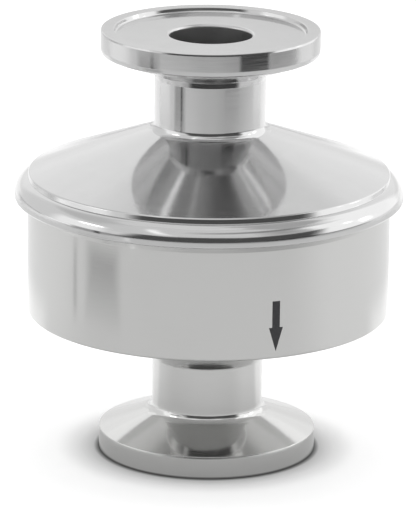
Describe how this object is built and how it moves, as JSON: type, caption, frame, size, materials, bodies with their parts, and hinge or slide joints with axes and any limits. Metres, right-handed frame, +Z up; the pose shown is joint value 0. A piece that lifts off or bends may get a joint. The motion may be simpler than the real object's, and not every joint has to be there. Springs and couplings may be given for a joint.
{
  "type": "thermostatic steam trap",
  "caption": "Clean-steam thermostatic trap: round screwed body with clamp ferrules, sealed capsule and ball-ended valve that drains condensate and holds steam.",
  "frame": {"origin": "centre of the outlet clamp face, at the bottom of the trap", "axes": "+Z up the flow axis from the outlet to the inlet, which is against the flow; +X and +Y across it"},
  "size_m": [0.0445, 0.0444, 0.0496],
  "materials": {
    "polished_stainless": "mechanically polished to a mirror",
    "satin_stainless": "fine satin, turned",
    "turned_stainless": "fine turned",
    "pressed_stainless": "pressed sheet, bright annealed",
    "diaphragm_alloy": "rolled foil, rippled",
    "spring_stainless": "cold rolled spring sheet",
    "gasket_ptfe": "white PTFE"
  },
  "bodies": {
    "root": {"inlet_ferrule": "polished_stainless", "upper_body": "polished_stainless", "lower_body": "satin_stainless", "outlet_ferrule": "satin_stainless", "body_gasket": "gasket_ptfe", "valve_seat": "turned_stainless", "seat_gasket": "gasket_ptfe", "element_support": "turned_stainless", "element_spring": "spring_stainless", "capsule_cover": "pressed_stainless", "capsule_base": "pressed_stainless", "diaphragm": "diaphragm_alloy", "travel_stop": "turned_stainless", "fill_plug": "turned_stainless"},
    "valve": {"valve_head": "turned_stainless", "valve_stem": "turned_stainless", "thrust_disc": "turned_stainless"}
  },
  "joints": [
    {"name": "valve_stroke", "type": "slide", "parent": "root", "child": "valve", "axis": [0, 0, -1], "range_m": [0, 0.001], "stiffness_N_per_m": 500, "deforming": ["diaphragm"]}
  ]
}
